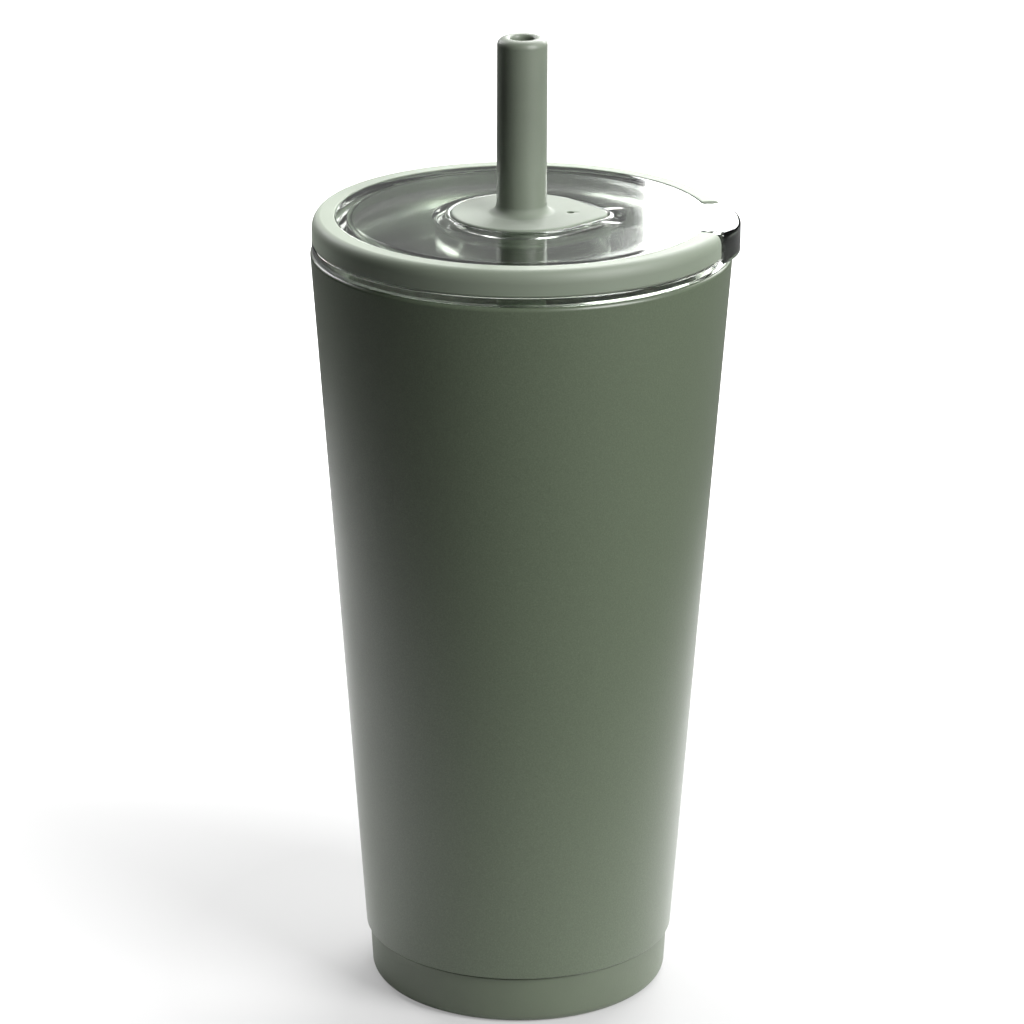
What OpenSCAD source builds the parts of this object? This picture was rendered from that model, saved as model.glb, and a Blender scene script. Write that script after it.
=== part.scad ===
// Insulated drinking tumbler with a press-in lid, a straw plug and a soft straw.
// Millimetres. The axis is Z, the tumbler stands on z = 0, and the lid's lift tab points along +X.

/* [Body] */
// Radius that the straight outer wall would have at the table
body_r0 = 34.2; // [33.5:0.1:35]
// Growth of the wall's radius for each millimetre of height
body_taper = 0.0712; // [0.066:0.0002:0.076]
// Height of the rim that the lid rests on
rim_z = 171.7; // [165:0.1:185]
// Radius of the rim's outer edge rounding
rim_round = 1.5; // [1:0.1:1.8]
// Thickness of the steel sheet
sheet = 0.6; // [0.4:0.05:0.7]
// From the outside of the outer wall to the inside of the liner
double_wall = 3.8; // [3.4:0.1:4]
// Height of the drink space's floor
floor_z = 14; // [13.5:0.5:18]
// Rounding between the liner's wall and its floor
floor_round = 8; // [5:0.5:12]

/* [Base] */
// Height of the seam between the coated wall and the base boot
seam_z = 11.5; // [10:0.1:12]
// Radius of the narrowed neck that the boot is stretched over
neck_r = 32.2; // [31.8:0.1:32.4]
// Outer radius of the boot at the seam
boot_top_r = 34.2; // [33.8:0.1:34.5]
// Outer radius of the boot just above its rounded foot
boot_low_r = 33.7; // [33.2:0.1:33.8]
// Rounding of the boot's foot
foot_round = 2.2; // [1:0.1:2.5]
// Thickness of the boot's floor
boot_floor = 2.6; // [2:0.1:2.6]

/* [Lid] */
// Outer radius of the lid's flange and of the ring on it
lid_r = 46; // [45.5:0.1:46.4]
// Thickness of the flange between the rim and the ring
flange_t = 2.1; // [1.8:0.1:2.5]
// Height of the ring above the flange
ring_h = 5.8; // [5.2:0.1:6.4]
// Radius of the clear wall inside the ring
wall_r = 41; // [40.6:0.1:41.4]
// Inner radius of the clear wall and of the skirt
skirt_in_r = 38.4; // [38:0.1:38.8]
// Thickness of the clear top plate
plate_t = 2; // [1.6:0.1:2.4]
// Depth of the skirt below the rim
skirt_depth = 8.5; // [8:0.1:10]
// Reach of the lift tab from the axis
tab_r = 48; // [47.2:0.1:49]
// Radius of the lift tab's curved outer edge
tab_arc_r = 23.2; // [21:0.1:28]
// Half of the angle that the lift tab takes
tab_half = 16; // [12:0.5:20]

/* [Plug and straw] */
// Radius of the plug's round end
plug_r = 15.45; // [14.5:0.05:16]
// Distance from the straw's axis to the centre of the plug's tip
plug_tip_x = 13.2; // [12.5:0.1:14.5]
// Radius of the plug's tip
plug_tip_r = 5.6; // [4.5:0.1:6.5]
// Height of the plug's flat top
plug_top_z = 180.05; // [179.8:0.05:180.4]
// Outer radius of the straw
straw_r = 5.5; // [5.5:0.1:6]
// Radius of the straw's bore
straw_bore_r = 2.7; // [2.5:0.1:3]
// Height of the straw's tip
straw_top_z = 219; // [205:1:230]
// Gap between the straw's lower end and the liner's floor
straw_foot_gap = 5; // [5:0.5:9]

/* [Hidden] */
$fn = 128;
// Steps in a drawn quarter arc, and in the round end and the tip of the plug's outline
arc_steps = 8;
round_steps = 48;
tip_steps = 12;
// Extra length that makes a cut pass through
eps = 0.5;

// Steel body
function body_r(z) = body_r0 + body_taper * z;
function liner_r(z) = body_r(z) - double_wall;
weld_lip_w = 2.2;
lip_r = body_r(rim_z) - weld_lip_w;
mouth_round = 0.9;
seam_round = 0.4;
base_z = boot_floor + 0.2;
base_flange_h = 4;
seal_hole_r = 1.2;
dimple_r = 4;
dimple_out_r = 7;
dimple_h = 1.2;
seal_bead_r = 2.6;
seal_bead_h = 0.8;
getter_x = -14;
getter_r = 4.6;
getter_h = 2;
getter_sheet = 0.5;
getter_rim_h = 0.3;

// Boot
groove_w = 1.2;
groove_h = 0.6;
grip_groove_r = [18, 23, 28];

// Lid
flange_z = rim_z + flange_t;
ring_z = flange_z + ring_h;
plate_z = ring_z - 0.4;
plate_low_z = plate_z - plate_t;
edge = 0.35;
skirt_top_r = liner_r(rim_z) - 0.9;
skirt_low_r = skirt_top_r - 0.6;
skirt_low_z = rim_z - skirt_depth;
groove_r = 40.1;
groove_top_z = rim_z - 2.1;
groove_low_z = groove_top_z - 3.2;
gasket_back_w = 1.1;
gasket_gap = 0.2;
gasket_lip_h = 0.7;
gasket_lip_edge = 0.2;
inside_round = 1.5;
ring_gap_half = tab_half + 1;
ring_round_w = 1.4;
ring_round_h = 2.7;
tab_low_z = rim_z + 0.6;
tab_round = 1.4;

// Socket in the lid, and the plug in it
socket_wall = 3.6;
socket_low_z = 170.4;
ledge_z = 174.4;
ledge_w = 1.6;
socket_gap = 0.25;
lip_w = 0.9;
lip_h = 0.5;
cap_h = 1.9;
plug_waist = 0.9;
rib_out = 0.1;
rib_h = 0.7;
rib_pitch = 1.15;
rib_low_z = ledge_z + 0.5;
plug_fillet_w = 1.9;
plug_fillet_h = 1.95;
bore_gap = 0.05;
vent_x = 10.7;
vent_r = 0.85;
straw_low_z = floor_z + straw_foot_gap;
tip_round = 1.8;
tip_dish = 0.7;

// Points of an arc about (cx, cz), with separate radii across and up
function arc(cx, cz, rx, rz, a0, a1, n = arc_steps) =
    [for (i = [0:n]) let (a = a0 + (a1 - a0) * i / n) [cx + rx * cos(a), cz + rz * sin(a)]];

// Outer wall of the vacuum body: one spun sheet from the turned-in rim down to the narrowed neck
module outer_shell() {
    rim_cx = body_r(rim_z) - rim_round;
    rim_cz = rim_z - rim_round;
    color("#5A6252") rotate_extrude() polygon(concat(
        [[neck_r, base_z], [neck_r, seam_z]],
        arc(body_r(seam_z) - seam_round, seam_z + seam_round, seam_round, seam_round, -90, 0, 4),
        arc(rim_cx, rim_cz, rim_round, rim_round, 0, 90),
        [[lip_r, rim_z], [lip_r, rim_z - sheet]],
        arc(rim_cx, rim_cz, rim_round - sheet, rim_round - sheet, 90, 0),
        [[body_r(seam_z + sheet) - sheet, seam_z + sheet], [neck_r - sheet, seam_z + sheet],
         [neck_r - sheet, base_z]]));
}

// Pressed disc welded into the neck, with the evacuation hole in a dimple
module shell_base() {
    r = neck_r - sheet;
    color("#B9BBBA") rotate_extrude() polygon([
        [seal_hole_r, base_z + dimple_h], [dimple_r, base_z + dimple_h], [dimple_out_r, base_z],
        [r, base_z], [r, base_z + base_flange_h], [r - sheet, base_z + base_flange_h],
        [r - sheet, base_z + sheet], [dimple_out_r, base_z + sheet],
        [dimple_r, base_z + dimple_h + sheet], [seal_hole_r, base_z + dimple_h + sheet]]);
}

// Bead of solder that closes the evacuation hole
module vacuum_seal() {
    z = base_z + dimple_h;
    color("#6D6A60") rotate_extrude() polygon(concat(
        [[0, z + sheet], [0, z - seal_bead_h]],
        arc(0, z, seal_bead_r, seal_bead_h, -90, 0),
        [[seal_hole_r, z], [seal_hole_r, z + sheet]]));
}

// Inner cup that holds the drink, welded to the outer wall at the rim
module inner_liner() {
    low_cx = liner_r(floor_z + floor_round) - floor_round;
    low_cz = floor_z + floor_round;
    mouth_cx = liner_r(rim_z - mouth_round) + mouth_round;
    color("#C4C6C6") rotate_extrude() polygon(concat(
        [[0, floor_z - sheet], [0, floor_z]],
        arc(low_cx, low_cz, floor_round, floor_round, -90, 0),
        arc(mouth_cx, rim_z - mouth_round, mouth_round, mouth_round, 180, 90),
        [[lip_r, rim_z], [lip_r, rim_z - sheet], [mouth_cx, rim_z - sheet],
         [liner_r(rim_z - mouth_round) + sheet, rim_z - mouth_round]],
        arc(low_cx, low_cz, floor_round + sheet, floor_round + sheet, 0, -90)));
}

// Small steel cup under the liner's floor that keeps the getter in the vacuum space
module getter_holder() {
    top = floor_z - sheet;
    depth = getter_h + getter_rim_h;
    color("#A9A9A6") translate([getter_x, 0, 0]) difference() {
        translate([0, 0, top - getter_sheet - depth])
            cylinder(r = getter_r + getter_sheet, h = depth + getter_sheet);
        translate([0, 0, top - getter_sheet - depth - eps])
            cylinder(r = getter_r, h = depth + eps);
    }
}

// Pressed pellet that soaks up stray gas
module getter_pellet() {
    color("#3C3C3E") translate([getter_x, 0, floor_z - sheet - getter_sheet - getter_h])
        cylinder(r = getter_r, h = getter_h);
}

// Silicone boot stretched over the neck, with grip grooves under it
module base_boot() {
    color("#535A4C") difference() {
        rotate_extrude() polygon(concat(
            [[0, boot_floor], [0, 0]],
            arc(boot_low_r - foot_round, foot_round, foot_round, foot_round, -90, 0),
            arc(boot_top_r - seam_round, seam_z - seam_round, seam_round, seam_round, 0, 90, 4),
            [[neck_r, seam_z], [neck_r, boot_floor]]));
        for (r = grip_groove_r) difference() {
            translate([0, 0, -eps]) cylinder(r = r + groove_w / 2, h = groove_h + eps);
            translate([0, 0, -2 * eps]) cylinder(r = r - groove_w / 2, h = groove_h + 3 * eps);
        }
    }
}

// Outline of the plug, grown outward by grow: a circle that tapers to a small round tip along +X
module drop_outline(grow) {
    a = acos((plug_r - plug_tip_r) / plug_tip_x);
    polygon(concat(
        arc(0, 0, plug_r + grow, plug_r + grow, a, 360 - a, round_steps),
        arc(plug_tip_x, 0, plug_tip_r + grow, plug_tip_r + grow, -a, a, tip_steps)));
}

// A slab with that outline, from z0 up to z1
module drop_slab(grow, z0, z1) {
    translate([0, 0, z0]) linear_extrude(z1 - z0) drop_outline(grow);
}

// A profile turned about the axis over an angle centred on +X
module sector(half) {
    rotate([0, 0, -half]) rotate_extrude(angle = 2 * half) children();
}

// Top plate, wall, flange and skirt of the lid, before the socket and the tab
module lid_blank() {
    rotate_extrude() polygon(concat(
        [[0, plate_z], [wall_r - edge, plate_z], [wall_r, plate_z - edge], [wall_r, flange_z],
         [lid_r - edge, flange_z], [lid_r, flange_z - edge], [lid_r, rim_z + edge],
         [lid_r - edge, rim_z], [skirt_top_r, rim_z], [skirt_top_r, groove_top_z],
         [groove_r, groove_top_z], [groove_r, groove_low_z], [skirt_top_r - edge, groove_low_z],
         [skirt_low_r, skirt_low_z], [skirt_in_r, skirt_low_z]],
        arc(skirt_in_r - inside_round, plate_low_z - inside_round, inside_round, inside_round, 0, 90),
        [[0, plate_low_z]]));
}

// Lift tab: a solid block in the ring's gap, flush with the plate, its outer edge on a tighter arc
module tab_blank() {
    intersection() {
        sector(tab_half) translate([wall_r - 2 * edge, tab_low_z - eps])
            square([tab_r - wall_r + 2, plate_z - tab_low_z + 2 * eps]);
        translate([tab_r - tab_arc_r, 0, 0]) rotate_extrude() polygon(concat(
            [[0, plate_z]],
            arc(tab_arc_r - tab_round, plate_z - tab_round, tab_round, tab_round, 90, 0),
            [[tab_arc_r, tab_low_z + edge], [tab_arc_r - edge, tab_low_z], [0, tab_low_z]]));
    }
}

// Clear one-piece lid
module lid_body() {
    color("#D9DEDA", 0.4) difference() {
        union() {
            lid_blank();
            tab_blank();
            drop_slab(socket_wall, socket_low_z, plate_z - plate_t / 2);
            drop_slab(socket_gap + lip_w, plate_z - plate_t / 2, plate_z + lip_h);
        }
        drop_slab(socket_gap, ledge_z, plate_z + lip_h + eps);
        drop_slab(-ledge_w, socket_low_z - eps, ledge_z + eps);
    }
}

// Coloured ring that snaps round the clear wall and stops short of the tab on both sides
module lid_ring() {
    color("#AFBBA6") rotate([0, 0, ring_gap_half])
        rotate_extrude(angle = 360 - 2 * ring_gap_half) polygon(concat(
            [[wall_r, flange_z], [lid_r - edge, flange_z], [lid_r, flange_z + edge]],
            arc(lid_r - ring_round_w, ring_z - ring_round_h, ring_round_w, ring_round_h, 0, 90),
            [[wall_r + edge, ring_z], [wall_r, ring_z - edge]]));
}

// Silicone seal with two lips, in the skirt's groove
module lid_gasket() {
    body_out_r = groove_r + gasket_back_w;
    lip_zs = [groove_low_z + gasket_lip_edge, groove_top_z - gasket_lip_h - gasket_lip_edge];
    color("#C9CFC4") {
        rotate_extrude() polygon(concat(
            [[groove_r, groove_low_z], [body_out_r, groove_low_z]],
            [for (z = lip_zs) each [[body_out_r, z], [liner_r(z) - gasket_gap, z + gasket_lip_h / 2],
                [body_out_r, z + gasket_lip_h]]],
            [[body_out_r, groove_top_z], [groove_r, groove_top_z]]));
    }
}

// Silicone plug: a flat cap flush with the lid, a ribbed waist in the socket and a fillet round the straw
module straw_plug() {
    bore_r = straw_r + bore_gap;
    color("#C6CFC0") difference() {
        union() {
            drop_slab(0, plug_top_z - cap_h, plug_top_z);
            drop_slab(-plug_waist, ledge_z, plug_top_z - cap_h);
            for (i = [0:2]) drop_slab(rib_out, rib_low_z + i * rib_pitch, rib_low_z + i * rib_pitch + rib_h);
            rotate_extrude() polygon(concat(
                [[bore_r - 1, plug_top_z - eps], [bore_r + plug_fillet_w, plug_top_z - eps]],
                arc(bore_r + plug_fillet_w, plug_top_z + plug_fillet_h,
                    plug_fillet_w, plug_fillet_h, -90, -180),
                [[bore_r - 1, plug_top_z + plug_fillet_h]]));
        }
        translate([0, 0, ledge_z - eps]) cylinder(r = bore_r, h = plug_top_z - ledge_z + 5 * eps);
        translate([vent_x, 0, ledge_z - eps]) cylinder(r = vent_r, h = plug_top_z - ledge_z + 2 * eps);
    }
}

// Soft straw: one tube from the rounded mouth end to just above the liner's floor
module straw() {
    color("#8E9A85") rotate_extrude() polygon(concat(
        [[straw_bore_r, straw_low_z], [straw_r, straw_low_z]],
        arc(straw_r - tip_round, straw_top_z - tip_round, tip_round, tip_round, 0, 90),
        [[straw_bore_r, straw_top_z - tip_dish]]));
}

outer_shell();
shell_base();
vacuum_seal();
inner_liner();
getter_holder();
getter_pellet();
base_boot();
lid_body();
lid_ring();
lid_gasket();
straw_plug();
straw();
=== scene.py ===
"""Looks of the insulated tumbler: every visible piece is a clean mesh swept round the axis."""

import math

import bmesh
import bpy
from mathutils import Matrix, Vector


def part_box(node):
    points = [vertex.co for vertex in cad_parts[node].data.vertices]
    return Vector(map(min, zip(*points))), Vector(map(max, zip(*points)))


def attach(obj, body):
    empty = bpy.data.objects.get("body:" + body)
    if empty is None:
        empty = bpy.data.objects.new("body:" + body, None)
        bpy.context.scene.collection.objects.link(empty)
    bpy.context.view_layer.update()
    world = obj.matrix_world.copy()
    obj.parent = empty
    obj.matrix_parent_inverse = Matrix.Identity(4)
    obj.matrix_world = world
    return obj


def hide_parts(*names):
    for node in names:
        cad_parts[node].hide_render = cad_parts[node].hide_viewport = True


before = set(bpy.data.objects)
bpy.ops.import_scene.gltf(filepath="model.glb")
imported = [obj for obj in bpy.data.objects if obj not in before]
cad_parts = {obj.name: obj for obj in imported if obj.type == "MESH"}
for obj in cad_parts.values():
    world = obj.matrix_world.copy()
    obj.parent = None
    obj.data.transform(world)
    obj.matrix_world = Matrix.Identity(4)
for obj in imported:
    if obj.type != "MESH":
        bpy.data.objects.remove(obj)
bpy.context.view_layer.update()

# ---------------------------------------------------------------- sizes, in millimetres

MM = 0.001


def top_of(node):
    """Height of a CAD node's top."""
    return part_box(node)[1].z / MM


def bottom_of(node):
    """Height of a CAD node's underside."""
    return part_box(node)[0].z / MM


def radius_of(node):
    """Radius of a CAD node round the Z axis."""
    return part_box(node)[1].y / MM


# Body: BODY_TAPER is the radius gained per mm of height, DOUBLE_WALL is both sheets and the vacuum
# between them, and BEND is the small rounding where the sheet turns
RIM_Z = top_of("outer_shell")
SEAM_Z = top_of("base_boot")
RIM_R = radius_of("outer_shell")
BODY_TAPER = 0.0712
RIM_ROUND = 1.5
SHEET = 0.6
DOUBLE_WALL = 3.8
FLOOR_Z = 14.0
FLOOR_ROUND = 8.0
LIP_R = RIM_R - 2.1
LIP_GAP = 0.1
LIP_ROUND = 0.9
NECK_R = 32.2
SEAM_ROUND = 0.4
SEAM_GAP = 0.2
BEND = 0.2

# Boot
BOOT_TOP_R = radius_of("base_boot")
BOOT_LOW_R = BOOT_TOP_R - 0.5
FOOT_ROUND = 2.2
BOOT_FLOOR = 2.6
GRIP_RADII = (18.0, 23.0, 28.0)
GRIP_HALF = 0.6
GRIP_DEPTH = 0.6

# Lid: TAB_HALF and RING_GAP are angles in degrees from the middle of the tab
LID_R = radius_of("lid_ring")
FLANGE_Z = bottom_of("lid_ring")
RING_Z = top_of("lid_ring")
RING_ROUND_W = 2.0
RING_ROUND_H = 2.9
RING_END_ROUND = 0.5
WALL_R = 41.0
SKIRT_IN_R = 38.4
SKIRT_GAP = 0.9
SKIRT_FOOT_Z = bottom_of("lid_body")
SKIRT_ROUND = 1.5
PLATE_Z = RING_Z - 0.12
PLATE_LOW_Z = PLATE_Z - 2.0
LID_EDGE = 0.3
TAB_HALF = 16.0
RING_GAP = TAB_HALF + 1
TAB_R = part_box("lid_body")[1].x / MM
TAB_ARC_R = 23.2
TAB_LOW_Z = RIM_Z + 0.6
TAB_ROUND = 1.4
TAB_SIDE_ROUND = 1.3
GASKET_TOP_Z = top_of("lid_gasket")
GASKET_LOW_Z = bottom_of("lid_gasket")
GASKET_IN_R = 40.1
GASKET_THICK = 1.1
GASKET_LIP = 0.7

# Plug and its socket: sizes across the plug's outline are offsets out from it
PLUG_R = 15.45
PLUG_TIP_X = 13.2
PLUG_TIP_R = 5.6
PLUG_FILLET = 1.95
PLUG_EDGE = 0.45
PLUG_Z = top_of("straw_plug") - PLUG_FILLET
PLUG_CAP_THICK = 1.9
PLUG_WAIST = -0.9
RIB_COUNT = 3
RIB_PITCH = 1.15
LEDGE_Z = bottom_of("straw_plug")
VENT_X = 10.7
VENT_R = 0.85
VENT_EDGE = 0.14
SOCKET_GAP = 0.25
SOCKET_WALL = 3.6
SOCKET_LOW_Z = 170.4
SOCKET_HOLE = -1.6
SOCKET_LIP_WIDE = 0.9
SOCKET_LIP_HIGH = 0.3

# Straw
STRAW_R = radius_of("straw")
STRAW_BORE_R = 2.7
STRAW_TIP_ROUND = 1.7
STRAW_BORE_ROUND = 0.75
STRAW_FOOT_EDGE = 0.3
STRAW_TOP_Z = top_of("straw")
STRAW_LOW_Z = bottom_of("straw")

# Gap that keeps touching faces of two pieces from lying in one plane
SKIN = 0.06

# Faces that meet at a sharper angle than this, in degrees, keep a hard edge
SHARP = 38

# Angle of the camera, and of the studio round it, from straight in front of the tumbler
VIEW_TURN = math.radians(2.8)


def body_r(z):
    """Outer radius of the tapered wall at a height."""
    return RIM_R + BODY_TAPER * (z - RIM_Z)


def liner_r(z):
    """Inner radius of the liner at a height."""
    return body_r(z) - DOUBLE_WALL


# ---------------------------------------------------------------- profiles and sweeps


def rounded(corners, steps=6):
    """A closed outline from (r, z, rounding) corners, each rounding drawn as an arc."""
    points = []
    for i, (r, z, rounding) in enumerate(corners):
        corner = Vector((r, z))
        if rounding <= 0:
            points.append(corner)
            continue
        before = Vector(corners[i - 1][:2]) - corner
        after = Vector(corners[(i + 1) % len(corners)][:2]) - corner
        half = before.angle(after) / 2
        reach = min(rounding / math.tan(half), 0.48 * before.length, 0.48 * after.length)
        radius = reach * math.tan(half)
        before.normalize()
        after.normalize()
        centre = corner + (before + after).normalized() * (radius / math.sin(half))
        first = corner + before * reach - centre
        last = corner + after * reach - centre
        start = math.atan2(first.y, first.x)
        turn = (math.atan2(last.y, last.x) - start + math.pi) % (2 * math.pi) - math.pi
        for k in range(steps + 1):
            angle = start + turn * k / steps
            points.append(centre + radius * Vector((math.cos(angle), math.sin(angle))))
    return points


def arc(cx, cz, rx, rz, a0, a1, steps=8):
    """Points of an arc about (cx, cz), with separate radii across and up."""
    angles = [math.radians(a0 + (a1 - a0) * k / steps) for k in range(steps + 1)]
    return [Vector((cx + rx * math.cos(a), cz + rz * math.sin(a))) for a in angles]


def even(points, longest):
    """The same open or closed run of points, with no step longer than longest."""
    result = []
    for here, there in zip(points, points[1:]):
        count = max(1, math.ceil((there - here).length / longest))
        result += [here.lerp(there, k / count) for k in range(count)]
    return result + [points[-1]]


def new_object(name, vertices, faces):
    """A mesh object from points in millimetres."""
    mesh = bpy.data.meshes.new(name)
    mesh.from_pydata([tuple(c * MM for c in v) for v in vertices], [], faces)
    mesh.validate()
    piece = bpy.data.objects.new(name, mesh)
    bpy.context.scene.collection.objects.link(piece)
    return piece


def finish_mesh(piece):
    """Merges the points on the axis, turns faces outward and smooths all but the sharp edges."""
    mesh = piece.data
    work = bmesh.new()
    work.from_mesh(mesh)
    bmesh.ops.remove_doubles(work, verts=work.verts, dist=2e-7)
    bmesh.ops.dissolve_degenerate(work, edges=work.edges, dist=1e-7)
    loose = [e for e in work.edges if not e.link_faces]
    bmesh.ops.delete(work, geom=loose, context="EDGES")
    bmesh.ops.recalc_face_normals(work, faces=work.faces)
    work.to_mesh(mesh)
    work.free()
    mesh.shade_smooth()
    mesh.set_sharp_from_angle(angle=math.radians(SHARP))
    weighted = piece.modifiers.new("flat_faces", "WEIGHTED_NORMAL")
    weighted.keep_sharp = True
    return piece


def sweep(name, stations, section, closed=True):
    """Joins section(station), a closed loop of 3-D points, from station to station."""
    loops = [section(s) for s in stations]
    size = len(loops[0])
    vertices = [p for loop in loops for p in loop]
    faces = []
    for i in range(len(loops) if closed else len(loops) - 1):
        j = (i + 1) % len(loops)
        for k in range(size):
            m = (k + 1) % size
            faces.append((i * size + k, j * size + k, j * size + m, i * size + m))
    if not closed:
        faces.append(tuple(range(size)))
        faces.append(tuple(reversed(range((len(loops) - 1) * size, len(loops) * size))))
    return finish_mesh(new_object(name, vertices, faces))


def lathe(name, outline, segments=256):
    """A closed outline turned right round the axis."""
    def section(k):
        angle = 2 * math.pi * k / segments
        return [(p.x * math.cos(angle), p.x * math.sin(angle), p.y) for p in outline]
    return sweep(name, range(segments), section)


def smooth(x, low, high):
    """0 below low, 1 above high, and an S-curve between."""
    t = min(1.0, max(0.0, (x - low) / (high - low)))
    return t * t * (3 - 2 * t)


# ---------------------------------------------------------------- the plug's outline

TANGENT = math.acos((PLUG_R - PLUG_TIP_R) / PLUG_TIP_X)
TIP_EDGE = math.atan2(PLUG_TIP_R * math.sin(TANGENT), PLUG_TIP_X + PLUG_TIP_R * math.cos(TANGENT))


def drop(angle, grow):
    """Point of the plug's outline seen at an angle from the axis, moved out by grow."""
    turn = (angle + math.pi) % (2 * math.pi) - math.pi
    side = 1 if turn >= 0 else -1
    turn = abs(turn)
    if turn >= TANGENT:
        reach, normal = PLUG_R, turn
    elif turn <= TIP_EDGE:
        off = PLUG_TIP_X * math.sin(turn)
        reach = PLUG_TIP_X * math.cos(turn) + math.sqrt(PLUG_TIP_R ** 2 - off ** 2)
        normal = math.atan2(reach * math.sin(turn), reach * math.cos(turn) - PLUG_TIP_X)
    else:
        reach, normal = PLUG_R / math.cos(turn - TANGENT), TANGENT
    x = reach * math.cos(turn) + grow * math.cos(normal)
    y = reach * math.sin(turn) + grow * math.sin(normal)
    return Vector((x, side * y))


def turned(angle, r, z):
    """Point at radius r and height z, turned to an angle."""
    return (r * math.cos(angle), r * math.sin(angle), z)


def dropped(angle, grow, z):
    """Point at height z on the plug's outline, moved out by grow."""
    point = drop(angle, grow)
    return (point.x, point.y, z)


def between(angle, r, grow, share, z):
    """Point on the way from the circle of radius r to the plug's outline."""
    round_point = Vector((r * math.cos(angle), r * math.sin(angle)))
    point = round_point.lerp(drop(angle, grow), share)
    return (point.x, point.y, z)


def mirrored_angles(parts):
    """Angles all round the axis from (start, end, step) parts of one half, in radians."""
    half = []
    for start, end, step in parts:
        count = round((end - start) / step)
        half += [start + (end - start) * k / count for k in range(count)]
    half.append(parts[-1][1])
    full = [-a for a in reversed(half[1:-1])] + half
    return [math.radians(a) for a in full]


# ---------------------------------------------------------------- materials


def shader(name):
    """A new material: its node tree and its Principled shader."""
    material = bpy.data.materials.new(name)
    material.use_nodes = True
    tree = material.node_tree
    return material, tree, tree.nodes["Principled BSDF"]


def object_point(tree, stretch=(1, 1, 1), start=(0, 0, 0)):
    """Position on the object in metres from start, stretched along its axes."""
    coordinate = tree.nodes.new("ShaderNodeTexCoord")
    mapping = tree.nodes.new("ShaderNodeMapping")
    mapping.inputs["Scale"].default_value = stretch
    mapping.inputs["Location"].default_value = [-c for c in start]
    tree.links.new(coordinate.outputs["Object"], mapping.inputs["Vector"])
    return mapping.outputs["Vector"]


def noise(tree, point, size, detail=2.0, rough=0.5):
    """Noise with features of about size metres."""
    node = tree.nodes.new("ShaderNodeTexNoise")
    node.inputs["Scale"].default_value = 1 / size
    node.inputs["Detail"].default_value = detail
    node.inputs["Roughness"].default_value = rough
    tree.links.new(point, node.inputs["Vector"])
    return node.outputs["Fac"]


def spread(tree, value, low, high, start=0.3, end=0.7):
    """value, mapped from start..end to low..high."""
    node = tree.nodes.new("ShaderNodeMapRange")
    for socket, number in (("From Min", start), ("From Max", end), ("To Min", low), ("To Max", high)):
        node.inputs[socket].default_value = number
    tree.links.new(value, node.inputs["Value"])
    return node.outputs["Result"]


def tint(tree, value, colours):
    """A colour ramp over value from (place, colour) pairs."""
    node = tree.nodes.new("ShaderNodeValToRGB")
    ramp = node.color_ramp
    while len(ramp.elements) < len(colours):
        ramp.elements.new(0.5)
    for element, (place, colour) in zip(ramp.elements, colours):
        element.position = place
        element.color = (*colour, 1)
    tree.links.new(value, node.inputs["Fac"])
    return node.outputs["Color"]


def bump(tree, height, distance, strength=1.0, below=None):
    """A bump of distance metres over height, on top of another bump if given."""
    node = tree.nodes.new("ShaderNodeBump")
    node.inputs["Distance"].default_value = distance
    node.inputs["Strength"].default_value = strength
    tree.links.new(height, node.inputs["Height"])
    if below:
        tree.links.new(below, node.inputs["Normal"])
    return node.outputs["Normal"]


def scaled(colour, factor):
    """A colour made darker or lighter."""
    return tuple(c * factor for c in colour)


def powder_coat():
    """Satin powder coat: very fine orange-peel grain with faint lighter and darker specks."""
    base = (0.083, 0.105, 0.069)
    material, tree, face = shader("powder_coat")
    point = object_point(tree)
    grain = noise(tree, point, 0.00030, 2.0, 0.55)
    speck = noise(tree, point, 0.0008, 2.0, 0.5)
    cloud = noise(tree, point, 0.03, 2.0, 0.5)
    colour = tint(tree, grain, [(0.30, scaled(base, 0.88)), (0.50, base), (0.72, scaled(base, 1.18))])
    tree.links.new(colour, face.inputs["Base Color"])
    tree.links.new(spread(tree, cloud, 0.31, 0.35), face.inputs["Roughness"])
    peel = bump(tree, speck, 0.00003, 0.4)
    tree.links.new(bump(tree, grain, 0.00002, 0.6, peel), face.inputs["Normal"])
    return material


def silicone(name, base, roughness, grain_depth, sheen, specular=0.5):
    """Soft silicone: a fine moulded grain, faint clouding and a little sheen."""
    material, tree, face = shader(name)
    point = object_point(tree)
    grain = noise(tree, point, 0.00035, 2.0, 0.5)
    cloud = noise(tree, point, 0.012, 3.0, 0.55)
    colour = tint(tree, cloud, [(0.30, scaled(base, 0.94)), (0.70, scaled(base, 1.05))])
    tree.links.new(colour, face.inputs["Base Color"])
    tree.links.new(spread(tree, grain, roughness - 0.04, roughness + 0.04), face.inputs["Roughness"])
    tree.links.new(bump(tree, grain, grain_depth, 0.7), face.inputs["Normal"])
    face.inputs["Specular IOR Level"].default_value = specular
    face.inputs["Sheen Weight"].default_value = sheen
    face.inputs["Sheen Roughness"].default_value = 0.5
    face.inputs["Subsurface Weight"].default_value = 0.05
    face.inputs["Subsurface Radius"].default_value = (0.6, 1.0, 0.5)
    face.inputs["Subsurface Scale"].default_value = 0.001
    return material


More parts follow.
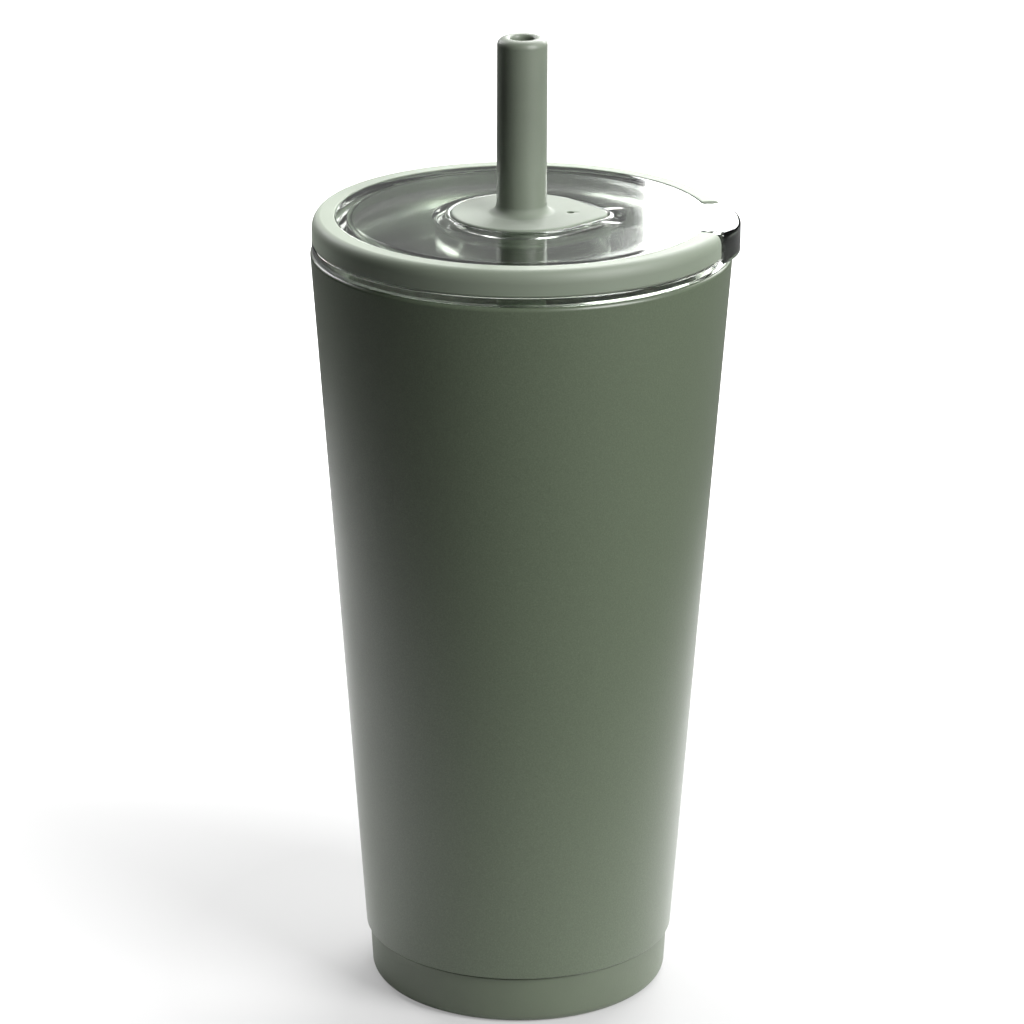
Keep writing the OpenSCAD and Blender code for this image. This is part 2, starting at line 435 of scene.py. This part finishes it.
def satin_plastic():
    """Satin moulded plastic of the lid ring."""
    base = (0.155, 0.183, 0.139)
    material, tree, face = shader("ring_plastic")
    point = object_point(tree)
    grain = noise(tree, point, 0.0004, 2.0, 0.5)
    cloud = noise(tree, point, 0.02, 2.0, 0.5)
    colour = tint(tree, cloud, [(0.30, scaled(base, 0.97)), (0.70, scaled(base, 1.03))])
    tree.links.new(colour, face.inputs["Base Color"])
    tree.links.new(spread(tree, grain, 0.52, 0.58), face.inputs["Roughness"])
    face.inputs["Sheen Weight"].default_value = 0.35
    face.inputs["Sheen Roughness"].default_value = 0.4
    face.inputs["Sheen Tint"].default_value = (0.90, 1.0, 0.86, 1)
    tree.links.new(bump(tree, grain, 0.00001, 0.6), face.inputs["Normal"])
    return material


def clear_plastic():
    """Clear plastic with very faint moulding waves, which casts a pale shadow."""
    material, tree, face = shader("clear_lid")
    point = object_point(tree)
    wave = noise(tree, point, 0.009, 2.0, 0.4)
    haze = noise(tree, point, 0.004, 3.0, 0.6)
    face.inputs["Base Color"].default_value = (0.745, 0.785, 0.73, 1)
    face.inputs["Transmission Weight"].default_value = 1.0
    face.inputs["IOR"].default_value = 1.54
    tree.links.new(spread(tree, haze, 0.055, 0.070), face.inputs["Roughness"])
    tree.links.new(bump(tree, wave, 0.00004, 0.25), face.inputs["Normal"])
    through = tree.nodes.new("ShaderNodeBsdfTransparent")
    through.inputs["Color"].default_value = (0.50, 0.53, 0.50, 1)
    mix = tree.nodes.new("ShaderNodeMixShader")
    shadow_ray = tree.nodes.new("ShaderNodeLightPath").outputs["Is Shadow Ray"]
    tree.links.new(shadow_ray, mix.inputs["Fac"])
    tree.links.new(face.outputs["BSDF"], mix.inputs[1])
    tree.links.new(through.outputs["BSDF"], mix.inputs[2])
    tree.links.new(mix.outputs["Shader"], tree.nodes["Material Output"].inputs["Surface"])
    return material


def turned_steel(name, base, roughness, ring_size):
    """Steel with fine turning lines that run round the axis, and faint streaks along it."""
    material, tree, face = shader(name)
    lines = noise(tree, object_point(tree, (0.02, 0.02, 1)), ring_size, 3.0, 0.7)
    streaks = noise(tree, object_point(tree, (1, 1, 0.05)), 0.006, 2.0, 0.5)
    colour = tint(tree, streaks, [(0.3, scaled(base, 0.88)), (0.7, base)])
    tree.links.new(colour, face.inputs["Base Color"])
    face.inputs["Metallic"].default_value = 1.0
    tree.links.new(spread(tree, lines, roughness - 0.08, roughness + 0.08), face.inputs["Roughness"])
    tree.links.new(bump(tree, lines, 0.00001, 0.5), face.inputs["Normal"])
    return material


def dull_bead(name, base):
    """Rough fired or pressed powder, for the hidden bead and pellet."""
    material, tree, face = shader(name)
    point = object_point(tree)
    grain = noise(tree, point, 0.0003, 4.0, 0.7)
    colour = tint(tree, grain, [(0.3, scaled(base, 0.6)), (0.7, scaled(base, 1.3))])
    tree.links.new(colour, face.inputs["Base Color"])
    tree.links.new(spread(tree, grain, 0.6, 0.85), face.inputs["Roughness"])
    tree.links.new(bump(tree, grain, 0.00008, 0.8), face.inputs["Normal"])
    return material


# ---------------------------------------------------------------- pieces


def dress(piece, material, body, slot, *nodes):
    """Gives a piece its finish, the body it rides on and the CAD nodes it stands for."""
    piece.data.materials.clear()
    piece.data.materials.append(material)
    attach(piece, body)
    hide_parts(*nodes)
    return piece


def make_wall():
    """Coated outer wall, from the turned-in rim to the neck inside the boot."""
    low = bottom_of("outer_shell")
    outline = rounded([
        (NECK_R - SKIN, low, 0), (NECK_R - SKIN, SEAM_Z, BEND),
        (body_r(SEAM_Z), SEAM_Z, SEAM_ROUND), (body_r(RIM_Z), RIM_Z, RIM_ROUND),
        (LIP_R + LIP_GAP, RIM_Z, 0.15), (LIP_R + LIP_GAP, RIM_Z - SHEET, 0),
        (body_r(RIM_Z) - SHEET, RIM_Z - SHEET, RIM_ROUND - SHEET),
        (body_r(SEAM_Z + SHEET) - SHEET, SEAM_Z + SHEET, BEND),
        (NECK_R - SHEET, SEAM_Z + SHEET, BEND), (NECK_R - SHEET, low, 0)], 8)
    wall = lathe("coated_wall", even(outline + outline[:1], 6)[:-1])
    return dress(wall, powder_coat(), "tumbler", "powder_coat", "outer_shell")


def make_liner():
    """Steel inner cup, with its flat lip round the mouth."""
    floor_cz = FLOOR_Z + FLOOR_ROUND
    floor_cx = liner_r(floor_cz) - FLOOR_ROUND
    lip_cz = RIM_Z - LIP_ROUND
    under_lip = RIM_Z - 1.6
    inside = (arc(floor_cx, floor_cz, FLOOR_ROUND, FLOOR_ROUND, -90, 0, 14)
              + arc(liner_r(lip_cz) + LIP_ROUND, lip_cz, LIP_ROUND, LIP_ROUND, 180, 90))
    outside = arc(floor_cx, floor_cz, FLOOR_ROUND + SHEET, FLOOR_ROUND + SHEET, 0, -90, 14)
    outline = ([Vector((0, FLOOR_Z))] + inside
               + [Vector((LIP_R, RIM_Z)), Vector((LIP_R, RIM_Z - SHEET)),
                  Vector((liner_r(RIM_Z) + LIP_ROUND, RIM_Z - SHEET)),
                  Vector((liner_r(under_lip) + SHEET, under_lip))]
               + outside + [Vector((0, FLOOR_Z - SHEET))])
    liner = lathe("steel_liner", even(outline, 6))
    steel = turned_steel("liner_steel", (0.44, 0.44, 0.42), 0.34, 0.0004)
    return dress(liner, steel, "tumbler", "liner_steel", "inner_liner")


def make_boot():
    """Soft base boot with a rounded foot and grip grooves under it."""
    top = SEAM_Z - SEAM_GAP
    groove_top = GRIP_HALF - 0.05
    outline = [Vector((0, BOOT_FLOOR)), Vector((0, 0))]
    for radius in GRIP_RADII:
        outline += rounded([(radius - GRIP_HALF, 0, 0.15), (radius - groove_top, GRIP_DEPTH, 0.2),
                            (radius + groove_top, GRIP_DEPTH, 0.2), (radius + GRIP_HALF, 0, 0.15)], 3)
    outline += arc(BOOT_LOW_R - FOOT_ROUND, FOOT_ROUND, FOOT_ROUND, FOOT_ROUND, -90, 0, 12)
    outline += arc(BOOT_TOP_R - SEAM_ROUND, top - SEAM_ROUND, SEAM_ROUND, SEAM_ROUND, 0, 90, 5)
    outline += [Vector((NECK_R, top)), Vector((NECK_R, BOOT_FLOOR))]
    boot = lathe("soft_boot", even(outline, 5))
    soft = silicone("boot_silicone", (0.088, 0.109, 0.073), 0.5, 0.00003, 0.05)
    return dress(boot, soft, "tumbler", "boot_silicone", "base_boot")


def make_gasket():
    """Two-lipped seal in the skirt's groove."""
    back = GASKET_IN_R + GASKET_THICK
    corners = [(GASKET_IN_R, GASKET_LOW_Z, 0.15), (back, GASKET_LOW_Z, 0.2)]
    for z in (GASKET_LOW_Z + 0.2, GASKET_TOP_Z - 0.2 - GASKET_LIP):
        corners += [(back, z, 0.1), (liner_r(z) - 0.2, z + GASKET_LIP / 2, 0.12),
                    (back, z + GASKET_LIP, 0.1)]
    corners += [(back, GASKET_TOP_Z, 0.2), (GASKET_IN_R, GASKET_TOP_Z, 0.15)]
    gasket = lathe("lip_seal", rounded(corners, 4))
    soft = silicone("gasket_silicone", (0.60, 0.64, 0.58), 0.4, 0.00001, 0.05)
    return dress(gasket, soft, "lid", "gasket_silicone", "lid_gasket")


def make_ring():
    """Coloured ring round the clear wall, open at the tab, with rounded ends."""
    gap = math.radians(RING_GAP)
    outline = (rounded([(WALL_R + SKIN, FLANGE_Z + SKIN, 0.25), (LID_R, FLANGE_Z + SKIN, 0.5),
                        (LID_R, RING_Z - RING_ROUND_H, 0)], 5)[:-1]
               + arc(LID_R - RING_ROUND_W, RING_Z - RING_ROUND_H, RING_ROUND_W, RING_ROUND_H, 0, 90, 18)
               + rounded([(WALL_R + 1.5, RING_Z, 0), (WALL_R + SKIN, RING_Z, 0.2),
                          (WALL_R + SKIN, FLANGE_Z + 2, 0)], 4)[:-1])
    outline = even(outline + outline[:1], 1.2)[:-1]
    centre = Vector((sum(p.x for p in outline), sum(p.y for p in outline))) / len(outline)
    reach = RING_END_ROUND / LID_R
    body_turn = 2 * math.pi - 2 * gap - 2 * reach
    quarter = [math.pi / 2 * k / 8 for k in range(9)]
    ends = [(math.sin(q), gap + reach * (1 - math.cos(q))) for q in quarter]
    stations = (ends + [(1, gap + reach + body_turn * k / 230) for k in range(1, 230)]
                + [(full, 2 * math.pi - angle) for full, angle in reversed(ends)])

    def section(station):
        full, angle = station
        pull = RING_END_ROUND * (1 - full)
        points = []
        for p in outline:
            inward = centre - p
            share = min(1, pull / inward.length)
            points.append(turned(angle, *(p + inward * share)))
        return points
    ring = sweep("sage_ring", stations, section, closed=False)
    return dress(ring, satin_plastic(), "lid", "ring_plastic", "lid_ring")


def tab_reach(turn):
    """Radius of the lift tab's outer edge at an angle, in degrees, from the tab's middle."""
    angle = math.radians(min(turn, RING_GAP))
    centre = TAB_R - TAB_ARC_R
    return centre * math.cos(angle) + math.sqrt(TAB_ARC_R ** 2 - (centre * math.sin(angle)) ** 2)


def lid_outside(angle):
    """Outer outline of the lid at an angle, from the plate down to the skirt's foot.

    Inside the ring's gap the wall is a solid block, the lift tab, flush with the plate. Its upper
    edges are rounded, and its two side faces turn into the plain wall within a degree.
    """
    turn = abs(math.degrees((angle + math.pi) % (2 * math.pi) - math.pi))
    tab = 1 - smooth(turn, TAB_HALF - 0.5, TAB_HALF + 0.1)
    foot = RIM_Z + SKIN
    skirt_r = liner_r(RIM_Z) - SKIRT_GAP
    edge = LID_EDGE
    cove = 0.25
    plain = ([Vector((WALL_R - 2.0, PLATE_Z)), Vector((WALL_R - 1.2, PLATE_Z))]
             + arc(WALL_R - edge, PLATE_Z - edge, edge, edge, 90, 0, 4)
             + [Vector((WALL_R, PLATE_Z - edge - (PLATE_Z - edge - FLANGE_Z - 2 * cove) * k / 5))
                for k in range(1, 6)]
             + arc(WALL_R + cove, FLANGE_Z + cove, cove, cove, 180, 270, 3)
             + [Vector((WALL_R + 2.5, FLANGE_Z))])
    reach = tab_reach(turn)
    corner = Vector((min(LID_R - 0.1, reach - edge - 0.05), TAB_LOW_Z))
    from_side = max(0, LID_R * math.radians(TAB_HALF - turn))
    past = max(0, TAB_SIDE_ROUND - from_side)
    drop_z = TAB_SIDE_ROUND - math.sqrt(TAB_SIDE_ROUND ** 2 - past ** 2)
    lifted = ([Vector((WALL_R - 1.6, PLATE_Z)), Vector((WALL_R - 0.2, PLATE_Z)),
               Vector((WALL_R + 0.8, PLATE_Z - drop_z / 4)), Vector((reach - 3.2, PLATE_Z - drop_z))]
              + arc(reach - TAB_ROUND, PLATE_Z - drop_z - TAB_ROUND, TAB_ROUND, TAB_ROUND, 90, 0, 7)
              + arc(reach - edge, TAB_LOW_Z + edge, edge, edge, 0, -90, 3)
              + [corner])
    flange = (arc(LID_R - edge, FLANGE_Z - edge, edge, edge, 90, 0, 3)
              + arc(LID_R - edge, foot + edge, edge, edge, 0, -90, 3)
              + [Vector((LID_R + (skirt_r - LID_R) * k / 5, foot)) for k in range(1, 5)])
    under_tab = [corner.lerp(flange[4], k / 5) for k in range(1, 5)] + flange[4:]
    top = [a.lerp(b, tab) for a, b in zip(plain, lifted, strict=True)]
    low = [a.lerp(b, tab) for a, b in zip(flange, under_tab, strict=True)]
    skirt = rounded([
        (skirt_r, foot, 0.2), (skirt_r - 0.1, GASKET_TOP_Z + SKIN, 0.15),
        (GASKET_IN_R - SKIN, GASKET_TOP_Z + SKIN, 0.15), (GASKET_IN_R - SKIN, GASKET_LOW_Z - SKIN, 0.15),
        (skirt_r - 0.35, GASKET_LOW_Z - SKIN, 0.15), (skirt_r - 0.6, SKIRT_FOOT_Z, 0.5),
        (SKIRT_IN_R, SKIRT_FOOT_Z, 0.5), (SKIRT_IN_R, PLATE_LOW_Z, SKIRT_ROUND)], 4)[5:-5]
    return top + low + skirt


def lid_inside(angle):
    """The rest of the lid's loop: under the plate, round the socket and back over the plate.

    The plug sits on a ledge in the socket, and a low lip stands round it on the plate.
    """
    grow = SOCKET_WALL
    cove = 0.6
    hole = SOCKET_GAP
    lip = hole + SOCKET_LIP_WIDE
    crown = PLATE_Z + SOCKET_LIP_HIGH
    loop = []
    for p in arc(SKIRT_IN_R - SKIRT_ROUND, PLATE_LOW_Z - SKIRT_ROUND, SKIRT_ROUND, SKIRT_ROUND, 0, 90, 5):
        loop.append(turned(angle, p.x, p.y))
    for share in (0.2, 0.45, 0.7):
        loop.append(between(angle, SKIRT_IN_R - 2, grow + cove, share, PLATE_LOW_Z))

    def follow(points):
        return [dropped(angle, p.x, p.y) for p in points]
    loop += follow(arc(grow + cove, PLATE_LOW_Z - cove, cove, cove, 90, 180, 4))
    loop += follow([Vector((grow, SOCKET_LOW_Z + h)) for h in (5, 3.4, 1.8)])
    loop += follow(arc(grow - 0.7, SOCKET_LOW_Z + 0.7, 0.7, 0.7, 0, -90, 4))
    loop += follow([Vector((grow / 2, SOCKET_LOW_Z))])
    loop += follow(arc(SOCKET_HOLE + 0.4, SOCKET_LOW_Z + 0.4, 0.4, 0.4, 270, 180, 3))
    loop += follow([Vector((SOCKET_HOLE, SOCKET_LOW_Z + 2))])
    loop += follow(arc(SOCKET_HOLE + 0.2, LEDGE_Z - SKIN - 0.2, 0.2, 0.2, 180, 90, 2))
    loop += follow([Vector((hole - 0.3, LEDGE_Z - SKIN)), Vector((hole, LEDGE_Z + 0.25))])
    loop += follow([Vector((hole, LEDGE_Z + h)) for h in (1.6, 3.0, 4.2)])
    loop += follow(arc(hole + 0.35, crown - 0.35, 0.35, 0.35, 180, 90, 4))
    loop += follow(arc(lip - 0.35, crown - 0.35, 0.35, 0.35, 90, 0, 4))
    loop += follow(arc(lip + 0.2, PLATE_Z + 0.2, 0.2, 0.2, 180, 270, 3))
    for share in (0.75, 0.5, 0.25, 0.0):
        loop.append(between(angle, WALL_R - 3.2, lip + 0.4, share, PLATE_Z))
    return loop


def make_lid():
    """Clear lid in one closed mesh: plate, wall, flange, skirt, lift tab and plug socket."""
    side_start, side_end = TAB_HALF - 3, TAB_HALF + 0.25
    angles = mirrored_angles([(0, side_start, 0.65), (side_start, side_end, 0.125), (side_end, 180, 1.42)])

    def section(angle):
        outside = [turned(angle, p.x, p.y) for p in lid_outside(angle)]
        return outside + lid_inside(angle)
    lid = sweep("clear_lid", angles, section)
    return dress(lid, clear_plastic(), "lid", "clear_lid", "lid_body")


def make_plug():
    """Silicone plug: flat drop-shaped cap, ribbed waist, fillet round the straw and a vent hole."""
    bore = STRAW_R + 0.03
    fillet_r = bore + PLUG_FILLET + 0.05
    top = PLUG_Z
    cap_low = top - PLUG_CAP_THICK
    waist = PLUG_WAIST
    rib = SOCKET_GAP + 0.02

    def section(angle):
        loop = [turned(angle, bore, z) for z in (LEDGE_Z, LEDGE_Z + 2, LEDGE_Z + 4, top)]
        for p in arc(fillet_r, top + PLUG_FILLET, PLUG_FILLET, PLUG_FILLET, 180, 270, 12):
            loop.append(turned(angle, p.x, p.y))
        for share in (0.08, 0.2, 0.5, 0.8, 0.95):
            loop.append(between(angle, fillet_r, -PLUG_EDGE, share, top))
        profile = arc(-PLUG_EDGE, top - PLUG_EDGE, PLUG_EDGE, PLUG_EDGE, 90, 0, 6)
        profile += rounded([(0, top - 1, 0), (0, cap_low, 0.2), (waist, cap_low, 0.15)], 3)[1:]
        for k in reversed(range(RIB_COUNT)):
            low = LEDGE_Z + 0.5 + RIB_PITCH * k
            corners = [(waist, low + 0.95, 0), (waist, low + 0.8, 0.1), (rib, low + 0.65, 0.1),
                       (rib, low + 0.1, 0.1), (waist, low - 0.05, 0.1), (waist, low - 0.15, 0)]
            profile += rounded(corners, 3)[1:-1]
        profile += rounded([(waist, LEDGE_Z + 0.6, 0), (waist, LEDGE_Z, 0.3), (-3, LEDGE_Z, 0)], 3)[1:-1]
        loop += [dropped(angle, p.x, p.y) for p in profile]
        for share in (0.3, 0.6, 0.85):
            loop.append(between(angle, bore, -1.4, 1 - share, LEDGE_Z))
        return loop
    angles = mirrored_angles([(0, 11, 0.8), (11, 41, 1.5), (41, 180, 1.6)])
    plug = sweep("vented_plug", angles, section)
    cut_vent(plug)
    soft = silicone("plug_silicone", (0.160, 0.186, 0.147), 0.6, 0.00002, 0.15, 0.2)
    return dress(plug, soft, "plug", "plug_silicone", "straw_plug")


def cut_vent(plug):
    """Drills the vent hole, with a small countersink, through the plug beside the straw."""
    angles = [2 * math.pi * k / 32 for k in range(32)]
    mouth_r = VENT_R + VENT_EDGE
    profile = [(0, LEDGE_Z - 2), (VENT_R, LEDGE_Z - 2), (VENT_R, PLUG_Z + 0.02 - VENT_EDGE),
               (mouth_r, PLUG_Z + 0.02), (mouth_r, PLUG_Z + 2), (0, PLUG_Z + 2)]
    drill = sweep("vent_drill", angles, lambda a: [
        (VENT_X + r * math.cos(a), r * math.sin(a), z) for r, z in profile])
    cut = plug.modifiers.new("vent", "BOOLEAN")
    cut.operation = "DIFFERENCE"
    cut.solver = "MANIFOLD"
    cut.object = drill
    bpy.context.view_layer.objects.active = plug
    plug.select_set(True)
    bpy.ops.object.modifier_move_to_index(modifier="vent", index=0)
    bpy.ops.object.modifier_apply(modifier="vent")
    plug.select_set(False)
    bpy.data.objects.remove(drill)
    plug.data.set_sharp_from_angle(angle=math.radians(SHARP))


def make_straw():
    """Soft straw with a rounded mouth end and small edges at its lower end."""
    tip = STRAW_TIP_ROUND
    inner = STRAW_BORE_ROUND
    edge = STRAW_FOOT_EDGE
    outline = ([Vector((STRAW_BORE_R, STRAW_LOW_Z + edge)), Vector((STRAW_BORE_R + edge, STRAW_LOW_Z)),
                Vector((STRAW_R - edge, STRAW_LOW_Z)), Vector((STRAW_R, STRAW_LOW_Z + edge))]
               + arc(STRAW_R - tip, STRAW_TOP_Z - tip, tip, tip, 0, 90, 12)
               + arc(STRAW_BORE_R + inner, STRAW_TOP_Z - inner, inner, inner, 90, 180, 6))
    straw = lathe("drinking_straw", even(outline + outline[:1], 4)[:-1], 96)
    soft = silicone("straw_silicone", (0.136, 0.159, 0.122), 0.45, 0.000025, 0.05)
    return dress(straw, soft, "straw", "straw_silicone", "straw")


def dress_hidden_nodes():
    """Finishes for the CAD nodes that stay: the parts inside the vacuum jacket."""
    plain_steel = turned_steel("base_steel", (0.45, 0.45, 0.44), 0.38, 0.0007)
    finishes = {
        "shell_base": plain_steel,
        "getter_holder": plain_steel,
        "vacuum_seal": dull_bead("seal_bead", (0.19, 0.18, 0.16)),
        "getter_pellet": dull_bead("getter", (0.07, 0.07, 0.075)),
    }
    for node, material in finishes.items():
        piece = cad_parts[node]
        piece.data.materials.clear()
        piece.data.materials.append(material)


# ---------------------------------------------------------------- studio


def seen_at(x, y, z):
    """Point that lies at (x, y, z) as the camera faces it, with x to its right and y away from it."""
    return Matrix.Rotation(VIEW_TURN, 3, "Z") @ Vector((x, y, z))


def make_floor():
    """Plain white studio floor with a pool of light painted into its colour: light round the object,
    fading to dim further out.

    The camera sees it as a seamless white ground with a faint shadow.
    """
    material, tree, face = shader("studio_floor")
    face.inputs["Roughness"].default_value = 0.9
    face.inputs["Specular IOR Level"].default_value = 0.1
    camera_ray = tree.nodes.new("ShaderNodeLightPath").outputs["Is Camera Ray"]

    def away(start):
        length = tree.nodes.new("ShaderNodeVectorMath")
        length.operation = "LENGTH"
        tree.links.new(object_point(tree, start=seen_at(*start)), length.inputs[0])
        return length.outputs["Value"]
    # Painted pool of light: the colour that other rays see is light within 0.16 m of its middle and dim
    # beyond 0.31 m
    painted_light_pool = spread(tree, away((-0.06, 0.10, 0)), 0.70, 0.07, 0.16, 0.31)
    mix = tree.nodes.new("ShaderNodeMix")
    mix.data_type = "RGBA"
    mix.inputs["B"].default_value = (0.33, 0.33, 0.33, 1)
    tree.links.new(camera_ray, mix.inputs["Factor"])
    tree.links.new(painted_light_pool, mix.inputs["A"])
    tree.links.new(mix.outputs["Result"], face.inputs["Base Color"])
    # For the camera the floor glows faintly near the object, where its shadow falls, and more far away
    glow = tree.nodes.new("ShaderNodeMath")
    glow.operation = "MULTIPLY"
    tree.links.new(camera_ray, glow.inputs[0])
    tree.links.new(spread(tree, away((0, 0, 0)), 0.30, 0.98, 0.08, 0.36), glow.inputs[1])
    face.inputs["Emission Color"].default_value = (1, 1, 1, 1)
    tree.links.new(glow.outputs["Value"], face.inputs["Emission Strength"])
    size = 6.0
    mesh = bpy.data.meshes.new("studio_floor")
    corners = [(-size, -size, 0), (size, -size, 0), (size, size, 0), (-size, size, 0)]
    mesh.from_pydata(corners, [], [(0, 1, 2, 3)])
    floor = bpy.data.objects.new("studio_floor", mesh)
    bpy.context.scene.collection.objects.link(floor)
    mesh.materials.append(material)


def area_light(name, place, aim, size, power):
    """A soft box at place turned towards aim, both in metres from the camera's side."""
    place = seen_at(*place)
    aim = seen_at(*aim)
    data = bpy.data.lights.new(name, "AREA")
    data.shape = "RECTANGLE"
    data.size, data.size_y = size
    data.energy = power
    light = bpy.data.objects.new(name, data)
    light.location = place
    light.rotation_euler = (aim - place).to_track_quat("-Z", "Y").to_euler()
    bpy.context.scene.collection.objects.link(light)
    return light


def make_lights():
    """Key light from the front right, soft boxes behind the object and a dim, even world."""
    middle = (0, 0, 0.11)
    area_light("key_right", (0.81, -0.61, 0.75), middle, (0.6, 0.8), 25)
    area_light("card_back_right", (0.488, 0.95, 0.62), (0.488, 0, 0.40), (0.86, 0.66), 19)
    area_light("backdrop_left", (-0.198, 0.95, 0.50), (-0.198, 0, 0.30), (0.5, 0.9), 0.35)
    area_light("left_back", (-0.68, 0.79, 0.70), middle, (0.3, 0.6), 7.5)
    area_light("top_back", (0.18, 0.55, 1.00), (0, 0, 0.17), (1.1, 0.8), 12)
    world = bpy.data.worlds.new("studio")
    bpy.context.scene.world = world
    world.use_nodes = True
    sky = world.node_tree.nodes["Background"]
    sky.inputs["Color"].default_value = (1, 1, 1, 1)
    sky.inputs["Strength"].default_value = 0.055


def make_camera():
    """Camera at the photograph's angle: 19.3 degrees above the horizon, one metre from its aim."""
    elevation = math.radians(19.326)
    roll = math.radians(0.2207)
    distance = 1.0
    aim = seen_at(-0.001854, 0, 0.110276)
    data = bpy.data.cameras.new("camera")
    data.sensor_width = 36
    data.lens = 156.8584
    data.clip_start = 0.05
    camera = bpy.data.objects.new("camera", data)
    back = seen_at(0, -math.cos(elevation), math.sin(elevation))
    camera.location = aim + back * distance
    look = (-back).to_track_quat("-Z", "Y").to_matrix().to_4x4()
    camera.rotation_euler = (look @ Matrix.Rotation(roll, 4, "Z")).to_euler()
    bpy.context.scene.collection.objects.link(camera)
    bpy.context.scene.camera = camera


make_camera()
make_floor()
make_lights()
make_wall()
make_liner()
make_boot()
make_gasket()
make_ring()
make_lid()
make_plug()
make_straw()
dress_hidden_nodes()
bpy.context.scene.view_settings.view_transform = "Standard"
